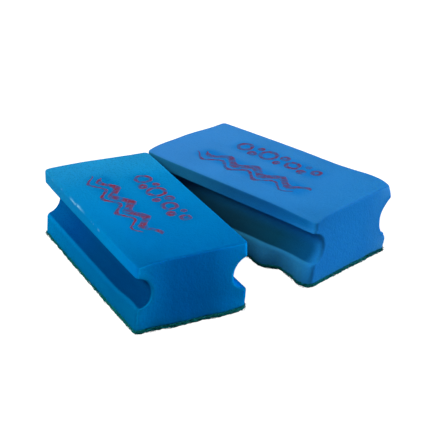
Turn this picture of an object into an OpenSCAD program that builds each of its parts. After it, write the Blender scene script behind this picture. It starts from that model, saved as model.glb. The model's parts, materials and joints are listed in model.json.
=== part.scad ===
// A pair of household scouring sponges that lie side by side. Each one is a waisted foam
// block with a round finger groove along both long sides, bonded to a thin pad of coarse
// scouring fleece, with a decoration printed on its top. The origin is the middle of the
// first sponge's scouring face. X runs across the sponge, Y along it and Z upwards.

/* [Foam block] */
// Length of one sponge
block_length = 140; // [120:1:160]
// Width of one sponge
block_width = 70; // [64:1:90]
// Height of the foam without the scouring pad
foam_height = 41; // [39:0.5:46]
// Rounding of the upright corners
corner_radius = 2.5; // [1:0.5:5]
// Rounding of the long edges of the top
top_rounding = 1; // [0.5:0.5:1.5]

/* [Finger grooves] */
// Radius of the groove along each long side
groove_radius = 10.5; // [9.5:0.5:11.5]
// How far the groove reaches in from the side
groove_depth = 9; // [6:0.5:9.5]
// Height of the groove's middle above the table
groove_height = 25; // [24:0.5:26]
// Rounding of the lip above the groove
upper_lip = 1; // [0.5:0.5:2]
// Rounding of the lip below the groove
lower_lip = 1; // [0.5:0.5:2]

/* [Scouring face] */
// Thickness of the scouring fleece
fleece_height = 3; // [2.5:0.5:5]
// Thickness of the bonding film
film_height = 0.3; // [0.2:0.1:0.5]
// How far the film stays in from the edges
film_inset = 1; // [0.5:0.5:3]

/* [Print] */
// How deep the ink sinks into the top
ink_depth = 0.3; // [0.2:0.1:0.5]
// Line width of the drawn bubbles
bubble_line = 2.8; // [1:0.1:3]
// Width of the broad wave
broad_wave = 7; // [3:0.5:7]
// Width of the narrow wave
narrow_wave = 3; // [1:0.1:3]
// Length of one wave, crest to crest
wave_length = 22; // [16:1:30]
// How far the waves swing to each side
wave_swing = 3.3; // [2:0.1:3.5]

/* [Layout] */
// Clear gap between the two sponges
blocks_apart = 0.9; // [0.5:0.1:40]
// How far the second sponge is shifted along the first
second_shift = 15; // [0:1:30]
// How far the second sponge is turned, in degrees
second_turn = 20; // [0:1:30]

/* [Hidden] */
$fn = 48;

half_width = block_width / 2;
foam_low = fleece_height + film_height;
foam_top = foam_low + foam_height;

// The groove's axis lies outside the side face, and each lip is an arc tangent to both.
groove_x = half_width - groove_depth + groove_radius;
function lip_across(lip) = groove_radius - groove_depth + lip;
function lip_rise(lip) = sqrt(pow(groove_radius + lip, 2) - pow(lip_across(lip), 2));
function lip_turn(lip) = atan2(lip_rise(lip), lip_across(lip));
waist_low = groove_height - groove_radius * sin(lip_turn(lower_lip));
waist_top = groove_height + groove_radius * sin(lip_turn(upper_lip));

// The second sponge's reach towards the first, from its own centre.
second_reach = (half_width - corner_radius) * cos(second_turn)
    + (block_length / 2 - corner_radius) * sin(second_turn) + corner_radius;
second_x = half_width + blocks_apart + second_reach;

// Bubbles of the upper print row: place along the sponge, place across it, radius.
bubbles = [
    [32, 15, 6], [22, 10.5, 3.4], [21.5, 19, 2.4], [12, 15, 6.8], [1.5, 10, 2.8], [1, 18.5, 3.6],
    [-9, 14, 5.6], [-18.5, 19, 2.2], [-19, 10.5, 3.4], [-27, 16, 4]
];
// Bubbles smaller than this are solid dots.
smallest_ring = 3;
broad_wave_x = -8;
narrow_wave_x = -15;
broad_wave_ends = [44, -41];
narrow_wave_ends = [49, -34];
wave_steps = 60;

function arc(centre, radius, from, to, steps = 12) = [
    for (i = [0:steps])
        let (a = from + (to - from) * i / steps)
            [centre[0] + radius * cos(a), centre[1] + radius * sin(a)]
];
function mirrored(points) = [for (i = [len(points) - 1:-1:0]) [-points[i][0], points[i][1]]];
function lip_centre(lip, side) = [half_width - lip, groove_height + side * lip_rise(lip)];

// Right half of the cross-section, upwards from the foam's lower face.
right_outline = concat(
    [[half_width, foam_low]],
    arc(lip_centre(lower_lip, -1), lower_lip, 0, lip_turn(lower_lip)),
    arc([groove_x, groove_height], groove_radius, 180 + lip_turn(lower_lip), 180 - lip_turn(upper_lip), 24),
    arc(lip_centre(upper_lip, 1), upper_lip, -lip_turn(upper_lip), 0),
    arc([half_width - top_rounding, foam_top - top_rounding], top_rounding, 0, 90, 6)
);

module rounded_plate(inset, low, high) {
    x = half_width - inset - corner_radius;
    y = block_length / 2 - inset - corner_radius;
    translate([0, 0, low])
        linear_extrude(high - low)
            polygon(concat(
                arc([x, y], corner_radius, 0, 90, 8),
                arc([-x, y], corner_radius, 90, 180, 8),
                arc([-x, -y], corner_radius, 180, 270, 8),
                arc([x, -y], corner_radius, 270, 360, 8)
            ));
}

// The part of the foam block between two heights.
module foam_slice(low, high) {
    intersection() {
        rotate([90, 0, 0])
            linear_extrude(block_length + 2, center = true)
                polygon(concat(right_outline, mirrored(right_outline)));
        rounded_plate(0, low, high);
    }
}

function wave_point(across, along) = [across + wave_swing * sin(360 * along / wave_length), along];
// A band along a wave, pointed at both ends.
module wave_band(across, ends, width) {
    steps = [for (i = [0:wave_steps]) i / wave_steps];
    spine = [for (t = steps) wave_point(across, ends[0] + (ends[1] - ends[0]) * t)];
    swell = [for (t = steps) width / 2 * (0.1 + 0.9 * pow(sin(180 * t), 0.4))];
    polygon(concat(
        [for (i = [0:wave_steps]) spine[i] + [swell[i], 0]],
        [for (i = [wave_steps:-1:0]) spine[i] - [swell[i], 0]]
    ));
}

module bubble(radius) {
    difference() {
        circle(radius);
        if (radius > smallest_ring) circle(radius - bubble_line);
    }
}

// The decoration: a row of bubbles above a broad and a narrow wave.
module decoration(low, high) {
    translate([0, 0, low])
        linear_extrude(high - low) {
            for (b = bubbles) translate([b[1], b[0]]) bubble(b[2]);
            wave_band(broad_wave_x, broad_wave_ends, broad_wave);
            wave_band(narrow_wave_x, narrow_wave_ends, narrow_wave);
        }
}

module foam_crown() {
    color("dodgerblue")
        difference() {
            foam_slice(waist_top, foam_top);
            decoration(foam_top - ink_depth, foam_top + 1);
        }
}
module foam_waist() {
    color("royalblue") foam_slice(waist_low, waist_top);
}
module foam_base() {
    color("dodgerblue") foam_slice(foam_low, waist_low);
}
module bond_film() {
    color("lightsteelblue") rounded_plate(film_inset, fleece_height, foam_low);
}
module scour_fleece() {
    color("darkslategray") rounded_plate(0, 0, fleece_height);
}
module print_ink() {
    color("maroon") decoration(foam_top - ink_depth, foam_top);
}

module second_place() {
    translate([second_x, second_shift, 0]) rotate([0, 0, second_turn]) children();
}

foam_crown();  // foam_crown_a
foam_waist();  // foam_waist_a
foam_base();  // foam_base_a
bond_film();  // bond_film_a
scour_fleece();  // scour_fleece_a
print_ink();  // print_a
second_place() foam_crown();  // foam_crown_b
second_place() foam_waist();  // foam_waist_b
second_place() foam_base();  // foam_base_b
second_place() bond_film();  // bond_film_b
second_place() scour_fleece();  // scour_fleece_b
second_place() print_ink();  // print_b
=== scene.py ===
# Looks for a pair of scouring sponges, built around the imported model.
import itertools
import json
import math
import bpy
import numpy as np
from mathutils import Matrix, Vector


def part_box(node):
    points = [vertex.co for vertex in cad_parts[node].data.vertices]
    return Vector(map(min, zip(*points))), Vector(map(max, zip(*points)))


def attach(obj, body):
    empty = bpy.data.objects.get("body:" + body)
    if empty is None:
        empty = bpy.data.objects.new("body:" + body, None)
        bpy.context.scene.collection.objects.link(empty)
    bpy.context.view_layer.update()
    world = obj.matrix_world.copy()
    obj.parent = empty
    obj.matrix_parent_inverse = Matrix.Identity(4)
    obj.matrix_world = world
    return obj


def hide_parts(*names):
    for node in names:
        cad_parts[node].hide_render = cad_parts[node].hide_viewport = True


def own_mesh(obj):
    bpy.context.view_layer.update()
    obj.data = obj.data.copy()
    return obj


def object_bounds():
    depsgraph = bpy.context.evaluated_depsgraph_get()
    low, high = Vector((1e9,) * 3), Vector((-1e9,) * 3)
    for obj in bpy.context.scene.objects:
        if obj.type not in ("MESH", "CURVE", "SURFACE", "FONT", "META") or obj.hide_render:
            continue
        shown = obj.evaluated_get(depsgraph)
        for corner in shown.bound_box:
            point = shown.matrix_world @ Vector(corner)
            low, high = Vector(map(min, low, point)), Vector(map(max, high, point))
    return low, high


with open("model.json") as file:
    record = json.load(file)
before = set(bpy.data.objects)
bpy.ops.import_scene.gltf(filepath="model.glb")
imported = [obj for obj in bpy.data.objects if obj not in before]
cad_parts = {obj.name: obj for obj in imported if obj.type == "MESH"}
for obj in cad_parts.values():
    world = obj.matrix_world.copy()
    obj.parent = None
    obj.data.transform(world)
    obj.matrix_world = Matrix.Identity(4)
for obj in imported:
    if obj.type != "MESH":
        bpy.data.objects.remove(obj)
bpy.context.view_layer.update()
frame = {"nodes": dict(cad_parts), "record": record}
mm = 0.001
mounts = {m["name"]: m for m in frame["record"]["mounts"]}
print("frame loaded:", len(frame["nodes"]), "nodes")


# Camera, which looks down on the pair from the front left.
cameraSettings = {
    "azimuth": -26.98,          # degrees, 0 looks along +Y
    "elevation": 26.17,         # degrees above the table
    "roll": 0.944,              # degrees about the line of sight
    "distance": 932 * mm,
    "aimShift": (-3.8 * mm, -9.7 * mm),   # from the middle of the pair
    "lens": 124.4,
    "sensor": 36.0,
}


def makeCamera(s):
    # Stands at its distance from the aim, along the azimuth and the elevation, and is then rolled.
    low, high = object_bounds()
    middle = (low + high) / 2
    aim = Vector((middle.x + s["aimShift"][0], middle.y + s["aimShift"][1], middle.z))
    azimuth, elevation = math.radians(s["azimuth"]), math.radians(s["elevation"])
    back = Vector((math.sin(azimuth) * math.cos(elevation),
                   -math.cos(azimuth) * math.cos(elevation), math.sin(elevation)))
    data = bpy.data.cameras.new("camera")
    data.lens, data.sensor_width = s["lens"], s["sensor"]
    camera = bpy.data.objects.new("camera", data)
    bpy.context.scene.collection.objects.link(camera)
    turned = (-back).to_track_quat("-Z", "Y").to_matrix()
    turned = turned @ Matrix.Rotation(math.radians(s["roll"]), 3, "Z")
    camera.matrix_world = Matrix.Translation(aim + back * s["distance"]) @ turned.to_4x4()
    bpy.context.scene.camera = camera


makeCamera(cameraSettings)
print("camera placed")


# Shared sizes, read from the frame.
def placeOf(sponge):
    # A sponge's middle in plan, and its turn about Z, from its groove mount's direction.
    low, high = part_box("scour_fleece_" + sponge)
    axis = mounts["grip_groove_" + sponge + "_right"]["axis"]
    middle = ((low.x + high.x) / 2, (low.y + high.y) / 2)
    return {"middle": middle, "turn": math.atan2(axis[1], axis[0])}


places = {sponge: placeOf(sponge) for sponge in "ab"}
baseLow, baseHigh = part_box("foam_base_a")
fleeceLow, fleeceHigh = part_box("scour_fleece_a")
halfWidth = (baseHigh.x - baseLow.x) / 2
halfLength = (baseHigh.y - baseLow.y) / 2
foamLow = baseLow.z
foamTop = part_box("foam_crown_a")[1].z
grooveAxisX, _, grooveAxisZ = mounts["grip_groove_a_right"]["pos_m"]


def toFrame(points, sponge):
    # Turns points from a sponge's own axes into the frame: a turn about Z, then a shift.
    place = places[sponge]
    c, s = math.cos(place["turn"]), math.sin(place["turn"])
    x, y, z = points[..., 0], points[..., 1], points[..., 2]
    return np.stack([place["middle"][0] + c * x - s * y, place["middle"][1] + s * x + c * y, z], -1)


# Noise, worked out for whole arrays.
def smoothNoise(points, cell, seed):
    # -1 to 1: random values at the corners of cubes of side cell, blended with a cubic ease.
    table = np.random.default_rng(seed).uniform(-1, 1, (32, 32, 32))
    q = points / cell
    base = np.floor(q).astype(int)
    t = q - base
    t = t * t * (3 - 2 * t)
    total = np.zeros(points.shape[:-1])
    for corner in itertools.product((0, 1), repeat=3):
        weight = np.prod(np.where(np.array(corner), t, 1 - t), axis=-1)
        i = (base + np.array(corner)) % 32
        total += table[i[..., 0], i[..., 1], i[..., 2]] * weight
    return total


def cellPits(points, cell, seed):
    # 0 between foam cells, up to 1 in their middles: one random point per cube of side cell, and
    # the distance to the nearest one, times a random size for that cell.
    table = np.random.default_rng(seed).uniform(0, 1, (24, 24, 24, 4))
    q = points / cell
    base = np.floor(q).astype(int)
    nearest = np.full(points.shape[:-1], 9.0)
    size = np.zeros(points.shape[:-1])
    for step in itertools.product((-1, 0, 1), repeat=3):
        i = (base + np.array(step)) % 24
        entry = table[i[..., 0], i[..., 1], i[..., 2]]
        distance = np.linalg.norm(base + np.array(step) + entry[..., :3] - q, axis=-1)
        closer = distance < nearest
        nearest = np.where(closer, distance, nearest)
        size = np.where(closer, entry[..., 3], size)
    return np.clip(1 - nearest / (0.35 + 0.4 * size), 0, 1) * (0.3 + 0.7 * size)


# Meshes, made from whole arrays.
def makePiece(name, points, quads, triangles=None):
    # A mesh object at the origin from arrays: points (n, 3), quads (m, 4) and triangles (k, 3).
    triangles = np.zeros((0, 3), int) if triangles is None else triangles
    mesh = bpy.data.meshes.new(name)
    mesh.vertices.add(len(points))
    mesh.vertices.foreach_set("co", np.asarray(points, np.float32).ravel())
    corners = np.concatenate([quads.ravel(), triangles.ravel()]).astype(np.int32)
    starts = np.concatenate([np.arange(len(quads)) * 4,
                             len(quads) * 4 + np.arange(len(triangles)) * 3])
    mesh.loops.add(len(corners))
    mesh.loops.foreach_set("vertex_index", corners)
    mesh.polygons.add(len(starts))
    mesh.polygons.foreach_set("loop_start", starts.astype(np.int32))
    mesh.update(calc_edges=True)
    mesh.validate()
    mesh.polygons.foreach_set("use_smooth", np.ones(len(mesh.polygons), bool))
    piece = bpy.data.objects.new(name, mesh)
    bpy.context.scene.collection.objects.link(piece)
    return piece


def setAttribute(piece, name, values):
    # One number for each vertex, which a material reads by name.
    layer = piece.data.attributes.new(name, "FLOAT", "POINT")
    layer.data.foreach_set("value", np.asarray(values, np.float32))


def setColours(piece, name, colours):
    # One linear colour for each vertex.
    layer = piece.data.attributes.new(name, "FLOAT_COLOR", "POINT")
    opaque = np.column_stack([colours, np.ones(len(colours))])
    layer.data.foreach_set("color", opaque.astype(np.float32).ravel())


def vertexNormals(piece):
    normals = np.zeros(len(piece.data.vertices) * 3, np.float32)
    piece.data.vertices.foreach_get("normal", normals)
    return normals.reshape(-1, 3).astype(float)


def arc(centre, radius, start, end, steps):
    # Points on a circle: the centre plus the radius times the cosine and the sine, in degrees.
    a = np.radians(np.linspace(start, end, steps + 1))
    return np.stack([centre[0] + radius * np.cos(a), centre[1] + radius * np.sin(a)], 1)


def evenly(path, spacing):
    # The same path with points about spacing apart, measured along it.
    run = np.concatenate([[0], np.cumsum(np.linalg.norm(np.diff(path, axis=0), axis=1))])
    steps = np.linspace(0, run[-1], int(round(run[-1] / spacing)) + 1)
    return np.stack([np.interp(steps, run, path[:, k]) for k in range(2)], 1)


def ringPlan(straightX, straightY, cornerSteps):
    # One turn round a rounded rectangle: for each point its place on the core rectangle, from -1 to
    # 1 both ways, and its outward normal. Each side runs from the middle of one corner to the next.
    cores, normals = [], []
    for k, straight in enumerate((straightX, straightY, straightX, straightY)):
        out = math.radians(-90 + 90 * k)
        lean = np.radians(np.linspace(0, 45, cornerSteps + 1))
        angle = np.concatenate([-lean[:0:-1], np.zeros(straight + 1), lean[1:]])[:-1]
        ends = np.ones(cornerSteps)
        t = np.concatenate([-ends, np.linspace(-1, 1, straight + 1), ends])[:-1]
        c, s = math.cos(out), math.sin(out)
        cores.append(np.stack([c - s * t, s + c * t], 1))
        normals.append(np.stack([np.cos(out + angle), np.sin(out + angle)], 1))
    return np.concatenate(cores), np.concatenate(normals)


def capFill(ring, countX, countY):
    # Fills a ring with a grid: each inside point is the mean of the straight blends between the
    # opposite sides, less the blend of the four corners.
    near = ring[:countX + 1]
    right = ring[countX:countX + countY + 1]
    far = ring[countX + countY:2 * countX + countY + 1][::-1]
    left = np.concatenate([ring[2 * countX + countY:], ring[:1]])[::-1]
    s = np.linspace(0, 1, countX + 1)[:, None, None]
    t = np.linspace(0, 1, countY + 1)[None, :, None]
    blend = (1 - t) * near[:, None] + t * far[:, None] + (1 - s) * left[None] + s * right[None]
    corners = (1 - s) * (1 - t) * near[0] + s * (1 - t) * near[-1]
    corners = corners + (1 - s) * t * far[0] + s * t * far[-1]
    return blend - corners


def blockSurface(rows, corner, spacing):
    # A closed rounded block. Each row is (half width, half length, height), and goes round a
    # rounded rectangle of those halves; the first and the last ring are filled with grids.
    cornerSteps = max(2, int(round(corner * math.pi / 4 / spacing)))
    straightX = int(round(2 * (halfWidth - corner) / spacing))
    straightY = int(round(2 * (halfLength - corner) / spacing))
    core, normal = ringPlan(straightX, straightY, cornerSteps)
    countX, countY = straightX + 2 * cornerSteps, straightY + 2 * cornerSteps
    halves = rows[:, None, :2] - corner
    wall = np.concatenate([core * halves + corner * normal,
                           np.broadcast_to(rows[:, None, 2:], (len(rows), len(core), 1))], 2)
    around = len(core)
    k = np.arange(around)
    v = np.arange(len(rows) - 1)[:, None] * around
    after = (k + 1) % around
    quads = [np.stack([v + k, v + after, v + around + after, v + around + k], -1).reshape(-1, 4)]
    points = [wall.reshape(-1, 3)]
    total = around * len(rows)
    for ring, first, upwards in ((wall[0], 0, False), (wall[-1], around * (len(rows) - 1), True)):
        cap = capFill(ring, countX, countY)
        index = np.zeros((countX + 1, countY + 1), int)
        index[:, 0] = first + np.arange(countX + 1)
        index[-1, :] = first + countX + np.arange(countY + 1)
        index[::-1, -1] = first + countX + countY + np.arange(countX + 1)
        index[0, ::-1] = first + (2 * countX + countY + np.arange(countY + 1)) % around
        inside = np.arange((countX - 1) * (countY - 1)).reshape(countX - 1, countY - 1)
        index[1:-1, 1:-1] = total + inside
        total += inside.size
        points.append(cap[1:-1, 1:-1].reshape(-1, 3))
        grid = np.stack([index[:-1, :-1], index[1:, :-1], index[1:, 1:], index[:-1, 1:]], -1)
        grid = grid.reshape(-1, 4)
        quads.append(grid if upwards else grid[:, ::-1])
    return np.concatenate(points), np.concatenate(quads)


# Colours, nodes and materials.
def linearColour(code):
    # An sRGB hex code as the linear colour that the shader wants.
    values = [int(code[k:k + 2], 16) / 255 for k in (1, 3, 5)]
    linear = [v / 12.92 if v <= 0.04045 else ((v + 0.055) / 1.055) ** 2.4 for v in values]
    return tuple(linear) + (1.0,)


def addNode(tree, kind, sockets, **settings):
    # Adds a node. A socket's value is a constant, or (node, output) for a link.
    node = tree.nodes.new(kind)
    for name, value in settings.items():
        setattr(node, name, value)
    for socket, value in sockets.items():
        if isinstance(value, tuple) and isinstance(value[0], bpy.types.Node):
            tree.links.new(value[0].outputs[value[1]], node.inputs[socket])
        else:
            node.inputs[socket].default_value = value
    return node


def newMaterial(name):
    material = bpy.data.materials.new(name)
    material.use_nodes = True
    material.node_tree.nodes.clear()
    return material, material.node_tree


foamLooks = {
    # Dye of each face as sRGB, at even steps: from the near end to the far end on the long faces,
    # and from left to right on the end faces. These tones carry painted shade and painted light:
    # each face, and the crown and the base of a side, is painted lighter or darker by how light
    # falls on it, and the top grows paler towards the far end, a painted light. The groove is
    # painted darkest, as painted shade, and paler under the groove's roof. The bottom edge, the
    # hem, is darker and greener next to the fleece, and the top is stained by thinned ink round the
    # print. An end face falls off a little in tone from top to bottom, a painted shade. Along the
    # mouth, the length of the side next to the near end, the side takes on the end's tone, a
    # painted light. The pale rim round the grooves on the end faces is a painted highlight. A pore
    # is that share as bright as the foam round it.
    "a": {"top": ("#006bad", "#0178bb", "#0381c3", "#0a88c6", "#2294cb"),
          "crown": ("#007dcc", "#0088cf", "#0489ce", "#108ccf", "#1e96d4"),
          "base": ("#006ba4", "#006ca8", "#0071b0", "#0078ba", "#0086cc"),
          "paintedRoofShade": ("#005090", "#0060aa", "#0064ac", "#0066ac", "#0070b4"),
          "paintedHollowShade": ("#004076", "#003e74", "#00437a", "#00488c", "#0060a4"),
          "end": ("#00a8fa", "#008ce0", "#0076c8", "#0073c4", "#0077c7", "#008ce0", "#009aea"),
          "edge": "#0094da", "hem": "#005a70", "stain": "#0072b4",
          "paintedFall": 0.36, "mouth": 0.1 * mm, "pore": 0.62},
    "b": {"top": ("#267ec3", "#2c80c5", "#3182c6", "#3684c9", "#3a86cb"),
          "crown": ("#0d70b4", "#0e5e9c", "#125c8e", "#1a6c94", "#1c7094"),
          "base": ("#2480b6", "#2a82b2", "#3290b4", "#3090a8", "#2f8c9c"),
          "paintedRoofShade": ("#1478c4", "#1672b0", "#1a6c9c", "#1a6890", "#1a6890"),
          "paintedHollowShade": ("#075488", "#0a425a", "#103c50", "#124258", "#164a64"),
          "end": ("#2082cb", "#1f84cf", "#1f86d1", "#2087d2", "#2288d4", "#2e90da", "#459cde"),
          "edge": "#2086d2", "hem": "#2678a0", "stain": "#0074c4",
          "paintedFall": 0, "mouth": 9 * mm, "pore": 0.7},
    # The tone of the rim's scuffs, which also serves as a painted highlight.
    "scuffAndHighlightTone": "#9adcf6",
    # The right sides get one tone, the tone at this share of the length, made darker as painted
    # shade. Their groove is painted paler towards its near end, a painted light, over these lengths
    # across and along.
    "rightPlace": 0.1,
    "rightShade": 0.8,
    "openEnd": (10 * mm, 64 * mm),
    "mouthShare": 0.8,
    # Stained strips under the print: place across, start and end along the sponge, half width, mm.
    "stains": [(14.5, -31, 38, 5.5), (-10, -40, 46, 6)],
    "stainShare": 0.85,
    "cloud": 0.05,              # how much the dye varies
    "cloudSize": 22 * mm,
    # A painted highlight: a paler rim on the end faces along the grooves.
    "paintedRimWidth": 3.2 * mm,      # the paler, thin-looking rim of the end faces along the grooves
    "hemHeight": 1.8 * mm,
    "poreSize": 1.3 * mm,       # real cells are half that, drawn coarse enough to show
    "grainSize": 0.7 * mm,
    "roughness": 0.86,
    "softness": 0.2,            # share of the light that goes into the foam
    "scatter": 2.4 * mm,        # and how far it travels there
}


def cutFoam(sponge):
    # Open-cell polyurethane, cut with a hot wire: matt, dyed right through, finely pitted, a little
    # translucent. Its colour carries painted shade, darkest in the grooves, and along a rim it has
    # scuffs with a painted highlight in them.
    s, tones = foamLooks, foamLooks[sponge]
    material, tree = newMaterial("cut polyurethane foam " + sponge)
    here = (addNode(tree, "ShaderNodeTexCoord", {}), "Object")
    # The dye, with painted shade and painted light in it, given per point.
    dye = addNode(tree, "ShaderNodeAttribute", {}, attribute_name="dye")
    pitting = addNode(tree, "ShaderNodeAttribute", {}, attribute_name="pitting")
    # Scuffs with a painted highlight in them, along the left top edge.
    rim = addNode(tree, "ShaderNodeAttribute", {}, attribute_name="rim")
    pores = addNode(tree, "ShaderNodeTexVoronoi", {"Vector": here, "Scale": 1 / s["poreSize"]})
    grain = addNode(tree, "ShaderNodeTexNoise", {"Vector": here, "Scale": 1 / s["grainSize"],
                                                 "Detail": 2.0})
    cells = addNode(tree, "ShaderNodeMapRange", {"Value": (pores, "Distance"), "From Min": 0.05,
                                                 "From Max": 0.45, "To Min": 1.0, "To Max": 0.0})
    openShare = addNode(tree, "ShaderNodeMath", {0: (cells, "Result"), 1: (pitting, "Fac")},
                        operation="MULTIPLY")
    shade = addNode(tree, "ShaderNodeMix", {0: (openShare, "Value"), 6: (1.0, 1.0, 1.0, 1.0),
                                            7: (tones["pore"],) * 3 + (1.0,)}, data_type="RGBA")
    pitted = addNode(tree, "ShaderNodeMix", {0: 1.0, 6: (dye, "Color"), 7: (shade, 2)},
                     data_type="RGBA", blend_type="MULTIPLY")
    # Scuffs and painted highlight, broken up by the grain.
    scuffedAndHighlit = addNode(tree, "ShaderNodeMath", {0: (rim, "Fac"), 1: (grain, "Fac")},
                   operation="MULTIPLY")
    colour = addNode(tree, "ShaderNodeMix", {0: (scuffedAndHighlit, "Value"), 6: (pitted, 2),
                                             7: linearColour(s["scuffAndHighlightTone"])},
                     data_type="RGBA")
    height = addNode(tree, "ShaderNodeMath", {0: (pores, "Distance"), 1: (grain, "Fac")},
                     operation="ADD")
    bump = addNode(tree, "ShaderNodeBump", {"Strength": 0.25, "Distance": 0.3 * mm,
                                            "Height": (height, "Value")})
    shader = addNode(tree, "ShaderNodeBsdfPrincipled", {
        "Base Color": (colour, 2), "Roughness": s["roughness"], "Normal": (bump, "Normal"),
        "Subsurface Weight": s["softness"], "Subsurface Radius": (0.25, 0.6, 1.0),
        "Subsurface Scale": s["scatter"], "Specular IOR Level": 0.0})
    addNode(tree, "ShaderNodeOutputMaterial", {"Surface": (shader, "BSDF")})
    return material


inkLooks = {
    "a": {"ink": "#863040", "thin": "#3a5488", "bare": "#007ec4"},
    "b": {"ink": "#6e3856", "thin": "#3a5c94", "bare": "#2f7cc6"},
    "poreSize": 1.5 * mm,
    "patchSize": 3.6 * mm,
    "roughness": 0.8,
}


def foamInk(sponge):
    # Flexo ink rolled onto foam: it lies on the cell walls only, so the dye shows through in
    # specks, and it thins out in patches and towards its edges.
    s, tones = inkLooks, inkLooks[sponge]
    material, tree = newMaterial("flexo ink on foam " + sponge)
    here = (addNode(tree, "ShaderNodeTexCoord", {}), "Object")
    pores = addNode(tree, "ShaderNodeTexVoronoi", {"Vector": here, "Scale": 1 / s["poreSize"]})
    patches = addNode(tree, "ShaderNodeTexNoise", {"Vector": here, "Scale": 1 / s["patchSize"],
                                                   "Detail": 4.0})
    edge = addNode(tree, "ShaderNodeAttribute", {}, attribute_name="inkEdge")
    thinning = addNode(tree, "ShaderNodeMapRange", {"Value": (patches, "Fac"), "From Min": 0.36,
                                                    "From Max": 0.6})
    tone = addNode(tree, "ShaderNodeMix", {0: (thinning, "Result"), 6: linearColour(tones["ink"]),
                                           7: linearColour(tones["thin"])}, data_type="RGBA")
    miss = addNode(tree, "ShaderNodeMapRange", {"Value": (pores, "Distance"), "From Min": 0.06,
                                                "From Max": 0.34, "To Min": 0.8, "To Max": 0.0})
    faded = addNode(tree, "ShaderNodeMapRange", {"Value": (patches, "Fac"), "From Min": 0.56,
                                                 "From Max": 0.74, "To Min": 0.0, "To Max": 0.8})
    gone = addNode(tree, "ShaderNodeMath", {0: (miss, "Result"), 1: (faded, "Result")},
                   operation="MAXIMUM")
    bare = addNode(tree, "ShaderNodeMath", {0: (gone, "Value"), 1: (edge, "Fac")},
                   operation="MAXIMUM")
    colour = addNode(tree, "ShaderNodeMix", {0: (bare, "Value"), 6: (tone, 2),
                                             7: linearColour(tones["bare"])},
                     data_type="RGBA")
    bump = addNode(tree, "ShaderNodeBump", {"Strength": 0.4, "Distance": 0.25 * mm,
                                            "Height": (pores, "Distance")})
    shader = addNode(tree, "ShaderNodeBsdfPrincipled", {
        "Base Color": (colour, 2), "Roughness": s["roughness"], "Normal": (bump, "Normal"),
        "Specular IOR Level": 0.0})
    addNode(tree, "ShaderNodeOutputMaterial", {"Surface": (shader, "BSDF")})
    return material


fleeceLooks = {
    "dark": "#005250",
    "light": "#0c8688",
    "resin": "#00665c",
    "webSize": 1.1 * mm,
    "patchSize": 5 * mm,
    "roughness": 0.92,
}


def scouringFleece(name, coat):
    # Non-woven nylon web, needled and sprayed with gritty resin: dark, dull, and fibrous all over.
    s = fleeceLooks
    material, tree = newMaterial(name)
    here = (addNode(tree, "ShaderNodeTexCoord", {}), "Object")
    web = addNode(tree, "ShaderNodeTexVoronoi", {"Vector": here, "Scale": 1 / s["webSize"]},
                  feature="DISTANCE_TO_EDGE")
    patches = addNode(tree, "ShaderNodeTexNoise", {"Vector": here, "Scale": 1 / s["patchSize"],
                                                   "Detail": 5.0})
    strands = addNode(tree, "ShaderNodeMapRange", {"Value": (web, "Distance"), "From Min": 0.02,
                                                   "From Max": 0.2, "To Min": 1.0, "To Max": 0.0})
    tone = addNode(tree, "ShaderNodeMix", {0: (patches, "Fac"), 6: linearColour(s["dark"]),
                                           7: linearColour(s["light"])}, data_type="RGBA")
    colour = addNode(tree, "ShaderNodeMix", {0: (strands, "Result"), 6: (tone, 2),
                                             7: linearColour(s[coat])},
                     data_type="RGBA")
    bump = addNode(tree, "ShaderNodeBump", {"Strength": 0.8, "Distance": 0.4 * mm,
                                            "Height": (strands, "Result")})
    shader = addNode(tree, "ShaderNodeBsdfPrincipled", {
        "Base Color": (colour, 2), "Roughness": s["roughness"], "Normal": (bump, "Normal"),
        "Specular IOR Level": 0.08})
    addNode(tree, "ShaderNodeOutputMaterial", {"Surface": (shader, "BSDF")})
    return material


filmLooks = {
    "thin": "#1f6f9a",
    "thick": "#0b5570",
    "patchSize": 4 * mm,
    "roughness": 0.45,
}


def hotMeltFilm():
    # Hot-melt adhesive web: a thin satin skin, cloudy blue where the foam shows through it.
    s = filmLooks
    material, tree = newMaterial("hot-melt adhesive film")
    here = (addNode(tree, "ShaderNodeTexCoord", {}), "Object")
    flow = addNode(tree, "ShaderNodeTexNoise", {"Vector": here, "Scale": 1 / s["patchSize"],
                                                "Detail": 4.0})
    colour = addNode(tree, "ShaderNodeMix", {0: (flow, "Fac"), 6: linearColour(s["thin"]),
                                             7: linearColour(s["thick"])}, data_type="RGBA")
    bump = addNode(tree, "ShaderNodeBump", {"Strength": 0.3, "Distance": 0.1 * mm,
                                            "Height": (flow, "Fac")})
    shader = addNode(tree, "ShaderNodeBsdfPrincipled", {
        "Base Color": (colour, 2), "Roughness": s["roughness"], "Normal": (bump, "Normal"),
        "IOR": 1.48})
    addNode(tree, "ShaderNodeOutputMaterial", {"Surface": (shader, "BSDF")})
    return material


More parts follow.
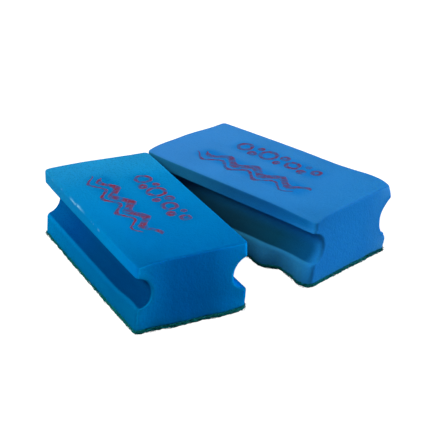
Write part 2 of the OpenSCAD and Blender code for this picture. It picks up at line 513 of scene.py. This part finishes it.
# Foam blocks.
foam = {
    "spacing": 0.72 * mm,
    "corner": 2.5 * mm,
    "topRounding": 1.6 * mm,
    "lowRounding": 0.8 * mm,
    "grooveRadius": 10.5 * mm,
    "upperLip": 1.0 * mm,
    "lowerLip": 2.4 * mm,
    "waveHeight": 0.3 * mm,     # slow unevenness of the cut faces
    "waveSize": 26 * mm,
    "lumpHeight": 0.07 * mm,
    "lumpSize": 5 * mm,
    "pitDepth": 0.1 * mm,       # open cells
    "pitSize": 2.3 * mm,
    # How far the bottom edge hangs over the fleece on each side, mm, and how it waves.
    "skirt": {"a": {"left": 2.3, "right": 0.8, "near": 0.9, "far": 0.8},
              "b": {"left": 2.2, "right": 1.1, "near": 1.3, "far": 0.8},
              "wave": 0.6 * mm, "waveSize": 9 * mm, "height": 6 * mm},
    # Streaks of scuffs and painted highlight on the first sponge's left top edge: start, end and
    # height, mm, and strength.
    "scuffsAndHighlights": [(2, 30, 43, 1.5), (11, 20, 43.3, 0.7), (-9, -4, 42.2, 1.0), (-18, -13, 42, 0.8),
               (38, 43, 43, 0.5), (49, 58, 42.6, 0.5)],
    # Soft dents and bulges: place, reach along each axis and push, in the sponge's own axes, mm.
    "pushes": {
        "a": [((-36, 0, 3), (6, 95, 7), (-0.9, 0, 0)),
              ((-35, -45, 44), (7, 42, 7), (1.4, 0, -1.6)),
              ((-35, -70, 43), (9, 11, 9), (1.0, 1.0, -0.8)),
              ((-35, -62, 15), (9, 16, 5), (0.5, 0, 2.2)),
              ((-18, 71, 44), (32, 12, 14), (0, 1.4, 0.8)),
              ((30, -64, 27), (9, 20, 10), (1.2, 0, -2.2)),
              ((-9, -71, 2), (12, 7, 7), (0, -1.3, 0)), ((18, -71, 1), (13, 7, 7), (0, -1.6, 0)),
              ((36, -71, 1), (5, 7, 6), (0, 1.6, 0.4))],
        "b": [((-35, -30, 2), (10, 8, 9), (-3.6, 0, 0)), ((-35, -41, 2), (10, 5, 9), (1.6, 0, 0)),
              ((-36, -63, 2), (10, 9, 11), (-5, 0, 0)),
              ((36, 5, 44), (11, 62, 12), (0.9, 0, 0.9)),
              ((36, -60, 40), (10, 26, 9), (2.4, 0, 0.5)),
              ((30, -64, 20), (9, 24, 13), (0.6, 0, -3.4)),
              ((31, -66, 33), (9, 22, 5), (2.2, 0, -0.8)),
              ((36, -72, 45), (6, 7, 5), (-0.6, 0.8, -1.7)),
              ((29, -68, 26), (9, 22, 7), (2.7, 0, 0)),
              ((36, -54, 44), (8, 12, 8), (0.4, 0, 0.4)),
              ((34, -66, 13.5), (6, 14, 2.6), (-2.2, 0, 0)),
              ((-33, -35, 32.5), (6, 60, 4), (-2.4, 0, 0)),
              ((35, -60, 1.5), (8, 26, 6), (-2.6, 0, 0)),
              ((-35, -66, 44), (8, 20, 8), (1.2, 0.6, -2.2)),
              ((-28, -68, 25), (9, 12, 11), (-2.0, 0, 0)),
              ((-24, 71, 44), (16, 12, 14), (0, 2.6, 1.0)),
              ((2, 71, 44), (18, 12, 14), (0, 2.2, 0.9))],
    },
}


def foamOutline(s):
    # Half the cross-section, upwards: low rounding, base, lower lip, round groove, upper lip, crown
    # and top rounding. Each lip is an arc tangent to the side and to the groove.
    def lip(radius, side):
        across = grooveAxisX - halfWidth + radius
        rise = math.sqrt((s["grooveRadius"] + radius) ** 2 - across ** 2)
        centre = (halfWidth - radius, grooveAxisZ + side * rise)
        return centre, math.degrees(math.atan2(rise, across))

    lowCentre, lowTurn = lip(s["lowerLip"], -1)
    highCentre, highTurn = lip(s["upperLip"], 1)
    low, top = s["lowRounding"], s["topRounding"]
    return np.concatenate([
        arc((halfWidth - low, foamLow + low), low, -90, 0, 6),
        arc(lowCentre, s["lowerLip"], 0, lowTurn, 12),
        arc((grooveAxisX, grooveAxisZ), s["grooveRadius"], 180 + lowTurn, 180 - highTurn, 40),
        arc(highCentre, s["upperLip"], -highTurn, 0, 12),
        arc((halfWidth - top, foamTop - top), top, 0, 90, 8),
    ])


def foamRows(s):
    # Rows for blockSurface: the end faces are upright, and rounded only at the top and the bottom.
    path = evenly(foamOutline(s), s["spacing"])
    z = path[:, 1]
    low = np.clip(1 - (z - foamLow) / s["lowRounding"], 0, 1)
    top = np.clip(1 - (foamTop - z) / s["topRounding"], 0, 1)
    inset = s["lowRounding"] * (1 - np.sqrt(1 - low ** 2))
    inset += s["topRounding"] * (1 - np.sqrt(1 - top ** 2))
    return np.stack([path[:, 0], halfLength - inset, z], 1)


def skirted(points, sponge):
    # Lowers the foam's bottom edge over the fleece: a steady drop for each side plus slow waves.
    s = foam["skirt"]
    sides = s[sponge]
    x, y, z = points.T
    fromSides = np.stack([x + halfWidth, halfWidth - x, y + halfLength, halfLength - y], 1)
    share = np.exp(-np.clip(fromSides, 0, None) / (3 * mm))
    drop = np.sum(share * np.array([sides[k] for k in ("left", "right", "near", "far")]), 1) * mm
    drop += s["wave"] * smoothNoise(points * [1, 1, 0], s["waveSize"], 31 + ord(sponge))
    drop *= np.clip(1 - (z - foamLow) / s["height"], 0, 1) * np.max(share, 1)
    return points - np.array([0, 0, 1]) * np.clip(drop, 0, foamLow - 0.6 * mm)[:, None]


def pushed(points, sponge):
    # Adds the sponge's dents and bulges, each a bell curve of the distance from its place.
    moved = points.copy()
    for place, reach, push in foam["pushes"][sponge]:
        away = (points - np.array(place) * mm) / (np.array(reach) * mm)
        moved += np.exp(-np.sum(away ** 2, -1))[..., None] * np.array(push) * mm
    return moved


def foamRelief(points, sponge):
    # How far the surface lies under its smooth shape, in metres: slow waves, small lumps and pits.
    s, seed = foam, ord(sponge)
    waves = s["waveHeight"] * (smoothNoise(points, s["waveSize"], seed) - 1) / 2
    lumps = s["lumpHeight"] * (smoothNoise(points, s["lumpSize"], seed + 1) - 1) / 2
    return waves + lumps - s["pitDepth"] * cellPits(points, s["pitSize"], seed + 2)


def ease(value, start, end):
    # 0 before start, 1 after end, and a cubic ease between.
    t = np.clip((value - start) / (end - start), 0, 1)
    return t * t * (3 - 2 * t)


def grooveReach(z):
    # Half the block's width at a height: the side face, or the groove's circle.
    inside = np.clip(foam["grooveRadius"] ** 2 - (z - grooveAxisZ) ** 2, 0, None)
    return np.minimum(halfWidth, np.where(inside > 0, grooveAxisX - np.sqrt(inside), halfWidth))


def inkStain(points):
    # 0 to 1: two soft strips under the print, one for the bubbles and one for the waves.
    x, y, z = points.T
    total = np.zeros(len(points))
    for across, start, end, half in np.array(foamLooks["stains"]) * mm:
        strip = 1 - ease(np.abs(x - across), half - 3 * mm, half + 5 * mm)
        begun = ease(y, start - 6 * mm, start + 4 * mm)
        ended = ease(y, end - 4 * mm, end + 6 * mm)
        total += foamLooks["stainShare"] * strip * begun * (1 - ended)
    return total * (0.8 + 0.2 * smoothNoise(points, 6 * mm, 13))


def foamDyeWithPaintedShade(points, normals, sponge):
    # Linear colour of each point, dye with painted shade and painted light in it: the side's tone,
    # then the end's, the groove's painted shade, the painted highlight round the groove on the end
    # faces, and the top's, each blended in over a soft edge.
    s, tones = foamLooks, foamLooks[sponge]
    x, y, z = points.T
    far = y / halfLength * 0.5 + 0.5
    side = np.where(x < 0, far, s["rightPlace"])

    def tone(name, share):
        steps = np.array([linearColour(code)[:3] for code in tones[name]])
        at = np.linspace(0, 1, len(steps))
        return np.stack([np.interp(share, at, steps[:, k]) for k in range(3)], 1)

    # The sides' tones, crown and base apart and near to far, and the right sides darker: painted
    # shade and painted light.
    dye = tone("base", side)
    dye += (tone("crown", side) - dye) * (z > grooveAxisZ)[:, None]
    dye *= np.where(x < 0, 1, s["rightShade"])[:, None]
    # Along the mouth the side is painted in the end's tone, a painted light.
    mouth = s["mouthShare"] * (1 - ease(y + halfLength, 0, tones["mouth"])) * (x < 0)
    # The end faces' tones, left to right and falling off towards the bottom: painted shade and
    # painted light.
    onEnd = ease(np.abs(normals[:, 1]), 0.6, 0.97)[:, None]
    falling = (1 + tones["paintedFall"] * (z / foamTop - 0.5))[:, None]
    dye += (tone("end", x / halfWidth * 0.5 + 0.5) * falling - dye) * onEnd
    reach = grooveReach(z)
    inGroove = ease(halfWidth - reach, 0.3 * mm, 2.2 * mm)
    inGroove *= ease(np.abs(x) - reach, -1.4 * mm, -0.3 * mm)
    # The groove's painted shade, paler under its roof, and painted paler towards the right groove's
    # near end as painted light.
    paintedGrooveShade = tone("paintedHollowShade", side)
    paintedGrooveShade += (tone("paintedRoofShade", side) - paintedGrooveShade) * ease(z, 20 * mm, 30 * mm)[:, None]
    openEnd = ease(x, 0, s["openEnd"][0]) * ease(-y, 0, s["openEnd"][1])
    paintedGrooveShade += (tone("end", np.full(len(x), 0.5)) - paintedGrooveShade) * openEnd[:, None]
    dye += (paintedGrooveShade - dye) * inGroove[:, None] * (1 - onEnd)
    dye += (tone("end", np.full(len(x), 0.4)) - dye) * mouth[:, None] * (1 - onEnd)
    # A painted highlight: a paler rim round the groove on the end faces.
    fromWall = np.hypot(np.abs(x) - grooveAxisX, z - grooveAxisZ) - foam["grooveRadius"]
    pale = np.exp(-(fromWall / s["paintedRimWidth"]) ** 2)[:, None] * onEnd
    dye += (np.array(linearColour(tones["edge"])[:3]) - dye) * pale
    # Darker and greener along the bottom edge, next to the fleece, in ragged patches.
    ragged = 0.6 + 0.4 * smoothNoise(points * [1, 1, 0], 3 * mm, 17 + ord(sponge))
    hem = np.exp(-(z - foamLow) / s["hemHeight"]) * ragged
    dye += (np.array(linearColour(tones["hem"])[:3]) - dye) * np.clip(hem, 0, 1)[:, None]
    onTop = ease(normals[:, 2], 0.3, 0.7)[:, None] * (z > foamTop - 8 * mm)[:, None]
    # The top grows paler from the near end to the far end, a painted light; round the print it
    # takes the ink's stain.
    top = tone("top", far)
    top += (np.array(linearColour(tones["stain"])[:3]) - top) * inkStain(points)[:, None]
    dye += (top - dye) * onTop
    return dye * (1 + s["cloud"] * smoothNoise(points, s["cloudSize"], 11 + ord(sponge))[:, None])


def rimScuffsAndHighlight(points):
    # Rubbed streaks with a painted highlight in them, along the left top edge, each tapered at both
    # ends, wandering and broken up.
    x, y, z = points.T
    total = np.zeros(len(points))
    wander = 0.5 * mm * smoothNoise(points * [0, 1, 0], 5 * mm, 9)
    for start, end, height, strength in np.array(foam["scuffsAndHighlights"]) * [mm, mm, mm, 1]:
        run = end - start
        taper = ease(y, start, start + run / 2) * (1 - ease(y, end - run / 4, end))
        total += strength * taper * np.exp(-((z - height - wander) / (0.5 * mm)) ** 2)
    broken = np.clip(0.55 + 1.1 * smoothNoise(points * [1, 0.5, 1], 1.1 * mm, 7), 0, 1)
    return total * (x < -halfWidth + 2 * mm) * broken


def makeFoam(sponge):
    # The smooth block, skirted and pushed, then moved along its normals by the relief.
    s = foam
    points, quads = blockSurface(foamRows(s), s["corner"], s["spacing"])
    shaped = pushed(skirted(points, sponge), sponge)
    piece = makePiece("foam_block_" + sponge, shaped, quads)
    normals = vertexNormals(piece)
    bonded = np.clip((points[:, 2] - foamLow) / (1.5 * mm), 0, 1)      # the glued face stays flat
    relief = (foamRelief(points, sponge) * bonded)[:, None]
    placed = toFrame(shaped + normals * relief, sponge)
    piece.data.vertices.foreach_set("co", placed.astype(np.float32).ravel())
    piece.data.update()
    # The colour attribute holds the dye with painted shade and painted light in it.
    setColours(piece, "dye", foamDyeWithPaintedShade(points, normals, sponge))
    # Only the first sponge has the scuffs, which carry a painted highlight.
    isFirst = sponge == "a"         # only the first one is scuffed, and coarser towards its far end
    setAttribute(piece, "rim", rimScuffsAndHighlight(points) * isFirst)
    setAttribute(piece, "pitting", 0.25 + 0.6 * ease(points[:, 1], 5 * mm, 60 * mm) * isFirst)
    piece.data.materials.append(cutFoam(sponge))
    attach(piece, "sponge_" + sponge)
    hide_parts("foam_crown_" + sponge, "foam_waist_" + sponge, "foam_base_" + sponge)
    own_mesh(piece)
    print("foam block", sponge, len(quads) * 2, "triangles")


for sponge in "ab":
    makeFoam(sponge)


# Print.
motif = {
    "lift": 0.2 * mm,           # above the foam's own relief
    "depth": 0.3 * mm,          # how far the slab reaches into the foam
    "ragged": 0.55 * mm,        # how far the edges wander
    "raggedSize": 1.4 * mm,
    "line": 2.8 * mm,
    "smallestRing": 3 * mm,
    # Bubbles: place along the sponge, place across it and radius, mm.
    "bubbles": [(32, 15, 6), (22, 10.5, 3.4), (21.5, 19, 2.4), (12, 15, 6.8), (1.5, 10, 2.8),
                (1, 18.5, 3.6), (-9, 14, 5.6), (-18.5, 19, 2.2), (-19, 10.5, 3.4), (-27, 16, 4)],
    # Waves: place across, start and end along the sponge and width, mm.
    "waves": [(-8, 44, -41, 7), (-15, 49, -34, 3)],
    "waveLength": 22 * mm,
    "swing": 3.3 * mm,
}


def ribbon(spine, side, half, closed):
    # A flat slab carried along a path: across it run nine points on top and nine below, half wide
    # each way. Returns plan points, levels (1 on top, 0 below), edge nearness and quads.
    across = np.linspace(-1, 1, 9)
    loop = np.concatenate([across, across[::-1]])
    level = np.concatenate([np.ones(9), np.zeros(9)])
    plan = spine[:, None] + side[:, None] * (half[:, None] * loop)[..., None]
    rings, around = plan.shape[:2]
    k = np.arange(around)
    v = np.arange(rings if closed else rings - 1)[:, None]
    after = (v + 1) % rings
    quads = np.stack([v * around + k, v * around + (k + 1) % around,
                      after * around + (k + 1) % around, after * around + k], -1).reshape(-1, 4)
    if not closed:
        for ring, flip in ((0, False), (rings - 1, True)):
            i = ring * around + np.arange(8)
            j = ring * around + around - 1 - np.arange(8)
            end = np.stack([i, j, j - 1, i + 1], 1)
            quads = np.concatenate([quads, end[:, ::-1] if flip else end])
    return plan.reshape(-1, 2), np.tile(level, rings), np.tile(np.abs(loop), rings), quads


def bubbleRibbon(along, across, radius, s):
    # A ring, or for a small bubble a ring closed to a dot.
    steps = max(24, int(radius / (0.25 * mm)))
    a = np.linspace(0, 2 * math.pi, steps, endpoint=False)
    out = np.stack([np.cos(a), np.sin(a)], 1)
    line = s["line"] if radius > s["smallestRing"] else radius - 0.05 * mm
    spine = np.array([across, along]) + out * (radius - line / 2)
    return ribbon(spine, -out, np.full(steps, line / 2), True)


def waveRibbon(across, start, end, width, s):
    # A band along a sine wave, its width measured straight across the sponge, that swells from a
    # point at each end.
    t = np.linspace(0, 1, 160)
    y = start + (end - start) * t
    spine = np.stack([across + s["swing"] * np.sin(2 * math.pi * y / s["waveLength"]), y], 1)
    half = width / 2 * (0.1 + 0.9 * np.sin(math.pi * t) ** 0.4)
    return ribbon(spine, np.tile([-1.0, 0.0], (len(t), 1)), half, False)


def makePrint(sponge):
    # All ribbons as one slab on the dented top: its edges wander by noise, and its upper face
    # stands over the foam by a lift that falls to nothing at the edges.
    s = motif
    parts = [bubbleRibbon(y * mm, x * mm, r * mm, s) for y, x, r in s["bubbles"]]
    parts += [waveRibbon(x * mm, a * mm, b * mm, w * mm, s) for x, a, b, w in s["waves"]]
    starts = np.cumsum([0] + [len(p[0]) for p in parts])
    plan = np.concatenate([p[0] for p in parts])
    level = np.concatenate([p[1] for p in parts])
    edge = np.concatenate([p[2] for p in parts])
    quads = np.concatenate([p[3] + start for p, start in zip(parts, starts)])
    flat = np.concatenate([plan, np.full((len(plan), 1), foamTop)], 1)
    wander = np.stack([smoothNoise(flat, s["raggedSize"], seed) for seed in (21, 22)], 1)
    flat[:, :2] += wander * s["ragged"] * edge[:, None]
    points = pushed(flat, sponge)
    rise = np.where(level > 0, s["lift"] * (1 - edge ** 6), -s["depth"])
    points[:, 2] += foamRelief(flat, sponge) + rise
    piece = makePiece("ink_motif_" + sponge, toFrame(points, sponge), quads)
    setAttribute(piece, "inkEdge", np.clip(edge * 3 - 2, 0, 1) * 0.6)
    piece.data.materials.append(foamInk(sponge))
    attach(piece, "crown_" + sponge)
    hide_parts("print_" + sponge)
    print("print", sponge, len(quads) * 2, "triangles")


for sponge in "ab":
    makePrint(sponge)


# Scouring fleece, a slab with loose fibres on it.
fleece = {
    "spacing": 0.95 * mm,
    "corner": 2.5 * mm,
    "rimRounding": 0.9 * mm,
    "rimGrowth": 0.1 * mm,
    "rimWander": 0.8 * mm,      # how ragged the cut edge is
    "rimWanderSize": 6 * mm,
    "rimFray": 0.75 * mm,       # and its finer fraying
    "fraySize": 1.5 * mm,
    "rimLift": 0.9 * mm,        # how far its lower edge is worn upwards in places
    "liftSize": 14 * mm,
    "felting": 0.35 * mm,       # unevenness of the faces
    "feltingSize": 1.7 * mm,
    "rimFibres": 2600,
    "faceFibres": 1100,
    "fibreThickness": 0.3 * mm,     # real fibres are a third of that, drawn thick enough to show
    "fibreLength": (2.5 * mm, 7 * mm),
    "fibreTilt": 0.16,          # radians, up or down
    "fibreBend": 0.5 * mm,
    "fibreTwist": 0.3 * mm,
    "proud": 0.15 * mm,         # rim fibres lie between this far out and that far in
    "rimDepth": 0.9 * mm,
}


def makeFleeceSlab(sponge):
    # A rounded slab: its rim moves in and out by a slow noise and a fine one, its lower edge is
    # worn upwards in places, and its faces are uneven by a noise of the fleece's own grain.
    s = fleece
    low, high = fleeceLow.z, fleeceHigh.z
    r = s["rimRounding"]
    outline = np.concatenate([arc((halfWidth - r, low + r), r, -90, 0, 5),
                              arc((halfWidth - r, high - r), r, 0, 90, 5)])
    path = evenly(outline, s["spacing"] * 0.6)
    rows = np.stack([path[:, 0], path[:, 0] + halfLength - halfWidth, path[:, 1]], 1)
    points, quads = blockSurface(rows, s["corner"], s["spacing"])
    seed = 40 + ord(sponge)
    edge = np.maximum(np.abs(points[:, 0]) / halfWidth,
                      (np.abs(points[:, 1]) - halfLength) / halfWidth + 1)
    atRim = np.clip((edge - 0.93) / 0.07, 0, 1)[:, None]
    out = points * [1, 1, 0]
    out /= np.maximum(np.linalg.norm(out, axis=1), 1e-9)[:, None]
    wander = smoothNoise(points, s["rimWanderSize"], seed)[:,
                                                           None] * s["rimWander"] + s["rimGrowth"]
    wander += smoothNoise(points, s["fraySize"], seed + 3)[:, None] * s["rimFray"]
    shaped = points + out * atRim * wander
    felt = smoothNoise(points, s["feltingSize"], seed + 1) * s["felting"]
    middle = (low + high) / 2
    lift = np.clip(smoothNoise(points, s["liftSize"], seed + 2), 0, 1) * s["rimLift"] * atRim[:, 0]
    shaped[:, 2] += np.where(points[:, 2] < middle, np.abs(felt) + lift,
                             -np.abs(felt) * atRim[:, 0])
    shaped = pushed(shaped, sponge)
    shaped[:, 2] = np.clip(shaped[:, 2], low, None)
    piece = makePiece("fleece_pad_" + sponge, toFrame(shaped, sponge), quads)
    piece.data.materials.append(scouringFleece("scouring fleece " + sponge, "resin"))
    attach(piece, "sponge_" + sponge)
    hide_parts("scour_fleece_" + sponge)
    print("fleece pad", sponge, len(quads) * 2, "triangles")


def tubes(centres, heading, sideways, length, bend, twist, thickness):
    # Many thin bent tubes at once: six rings of three points along each centre line, which is a
    # line plus a parabola sideways plus one turn of a sine the other way, with a small face at each
    # end.
    t = np.linspace(-0.5, 0.5, 6)
    other = np.cross(heading, sideways)
    lines = (centres[:, None] + heading[:, None] * (t * length[:, None])[..., None]
             + sideways[:, None] * (bend[:, None] * (1 - 4 * t ** 2))[..., None]
             + other[:, None] * (twist[:, None] * np.sin(2 * math.pi * t))[..., None])
    a = np.radians([0, 120, 240])
    radius = thickness / 2 * (1 - 0.5 * np.abs(2 * t) ** 3)
    spoke = sideways[:, None] * np.cos(a)[:, None] + other[:, None] * np.sin(a)[:, None]
    points = lines[:, :, None] + spoke[:, None] * radius[None, :, None, None]
    first = np.arange(len(centres))[:, None, None] * 18
    ring, k = np.arange(5)[None, :, None] * 3, np.arange(3)[None, None]
    quads = np.stack([first + ring + k, first + ring + (k + 1) % 3,
                      first + ring + 3 + (k + 1) % 3, first + ring + 3 + k], -1).reshape(-1, 4)
    start = np.arange(len(centres))[:, None] * 18
    ends = np.concatenate([start + [0, 2, 1], start + [15, 16, 17]])
    return points.reshape(-1, 3), quads, ends


def makeFibres(sponge):
    # Loose fibres: some lie along the rim, tilted a little, the others anyhow on the lower face.
    s = fleece
    rng = np.random.default_rng(70 + ord(sponge))
    low, high = fleeceLow.z, fleeceHigh.z
    core, normal = ringPlan(200, 400, 3)
    pick = rng.integers(0, len(core), s["rimFibres"])
    halves = np.array([halfWidth, halfLength]) - s["corner"]
    onRim = core[pick] * halves + s["corner"] * normal[pick]
    onRim += normal[pick] * rng.uniform(-s["rimDepth"], s["proud"], s["rimFibres"])[:, None]
    rimHeight = rng.uniform(low + 0.35 * mm, high - 0.1 * mm, s["rimFibres"])
    onFace = rng.uniform(-1, 1, (s["faceFibres"], 2)) * (halves + s["corner"] - 1.5 * mm)
    faceHeight = np.full(s["faceFibres"], low + 0.32 * mm)
    centres = np.concatenate([np.column_stack([onRim, rimHeight]),
                              np.column_stack([onFace, faceHeight])])
    away = rng.uniform(0, 2 * math.pi, s["faceFibres"])
    outward = np.concatenate([normal[pick], np.stack([np.cos(away), np.sin(away)], 1)])
    sideways = np.column_stack([outward, np.zeros(len(outward))])
    along = np.column_stack([-outward[:, 1], outward[:, 0], np.zeros(len(outward))])
    lift = np.concatenate([rng.normal(0, s["fibreTilt"], s["rimFibres"]),
                           np.zeros(s["faceFibres"])])
    heading = along * np.cos(lift)[:, None] + np.array([0, 0, 1]) * np.sin(lift)[:, None]
    count = len(centres)
    length = rng.uniform(*s["fibreLength"], count)
    bend = rng.uniform(-s["fibreBend"], s["fibreBend"], count)
    onlyRim = np.concatenate([np.ones(s["rimFibres"]), np.zeros(s["faceFibres"])])
    twist = rng.uniform(-s["fibreTwist"], s["fibreTwist"], count) * onlyRim
    points, quads, ends = tubes(centres, heading, sideways, length, bend, twist,
                                s["fibreThickness"])
    points = pushed(points, sponge)
    points[:, 2] = np.clip(points[:, 2], low + 0.05 * mm, high + 0.15 * mm)
    piece = makePiece("fleece_fibres_" + sponge, toFrame(points, sponge), quads, ends)
    piece.data.materials.append(scouringFleece("nylon fibres " + sponge, "light"))
    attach(piece, "sponge_" + sponge)
    print("fleece fibres", sponge, len(quads) * 2 + len(ends), "triangles")


for sponge in "ab":
    makeFleeceSlab(sponge)
    makeFibres(sponge)


# Bond film, kept as the model has it.
film = hotMeltFilm()
for sponge in "ab":
    node = frame["nodes"]["bond_film_" + sponge]
    node.data.materials.clear()
    node.data.materials.append(film)
print("bond film dressed")


# Floor and light.
studio = {
    "floorSize": 8.0,
    "floorTone": "#7c7c7c",
    # The glow is only for the eye: the paper looks white, yet throws little light back.
    "floorGlow": 1.0,
    "backdropTone": "#ffffff",
    "ambient": 0.27,
    # Soft lights: where each shines from, strength, spread in degrees and colour.
    "lights": {
        "leftLight": ((-0.72, 0.05, 0.69), 2.3, 30, "#ffffff"),
        "rightLight": ((0.95, -0.16, 0.2), 3.6, 30, "#dbe6ff"),
    },
}


def makeStudio(s):
    # A square of paper as the floor, two soft suns and a dim world that looks white.
    half = s["floorSize"] / 2
    plane = np.array([[-half, -half, 0], [half, -half, 0], [half, half, 0], [-half, half, 0]],
                     float)
    floor = makePiece("floor", plane, np.array([[0, 1, 2, 3]]))
    material, tree = newMaterial("matt white paper")
    here = (addNode(tree, "ShaderNodeTexCoord", {}), "Object")
    fleck = addNode(tree, "ShaderNodeTexNoise", {"Vector": here, "Scale": 300.0, "Detail": 2.0})
    bump = addNode(tree, "ShaderNodeBump", {"Strength": 0.05, "Distance": 0.1 * mm,
                                            "Height": (fleck, "Fac")})
    sight = addNode(tree, "ShaderNodeLightPath", {})
    glow = addNode(tree, "ShaderNodeMath", {0: (sight, "Is Camera Ray"), 1: s["floorGlow"]},
                   operation="MULTIPLY")
    shader = addNode(tree, "ShaderNodeBsdfPrincipled", {
        "Base Color": linearColour(s["floorTone"]), "Roughness": 0.95, "Specular IOR Level": 0.0,
        "Normal": (bump, "Normal"), "Emission Color": (1.0, 1.0, 1.0, 1.0),
        "Emission Strength": (glow, "Value")})
    addNode(tree, "ShaderNodeOutputMaterial", {"Surface": (shader, "BSDF")})
    floor.data.materials.append(material)
    for name, (towards, strength, spread, tint) in s["lights"].items():
        data = bpy.data.lights.new(name, "SUN")
        data.energy, data.angle, data.color = strength, math.radians(spread), linearColour(tint)[:3]
        light = bpy.data.objects.new(name, data)
        light.rotation_mode = "QUATERNION"
        light.rotation_quaternion = Vector(towards).to_track_quat("Z", "Y")
        bpy.context.scene.collection.objects.link(light)
    world = bpy.data.worlds.new("studio")
    world.use_nodes = True
    tree = world.node_tree
    tree.nodes.clear()
    path = addNode(tree, "ShaderNodeLightPath", {})
    dim = addNode(tree, "ShaderNodeBackground", {"Color": (1.0, 1.0, 1.0, 1.0),
                                                 "Strength": s["ambient"]})
    pale = addNode(tree, "ShaderNodeBackground", {"Color": linearColour(s["backdropTone"]),
                                                  "Strength": 1.0})
    seen = addNode(tree, "ShaderNodeMixShader", {0: (path, "Is Camera Ray"), 1: (dim, 0),
                                                 2: (pale, 0)})
    addNode(tree, "ShaderNodeOutputWorld", {"Surface": (seen, 0)})
    bpy.context.scene.world = world
    bpy.context.scene.view_settings.view_transform = "Standard"


makeStudio(studio)
print("studio lit")
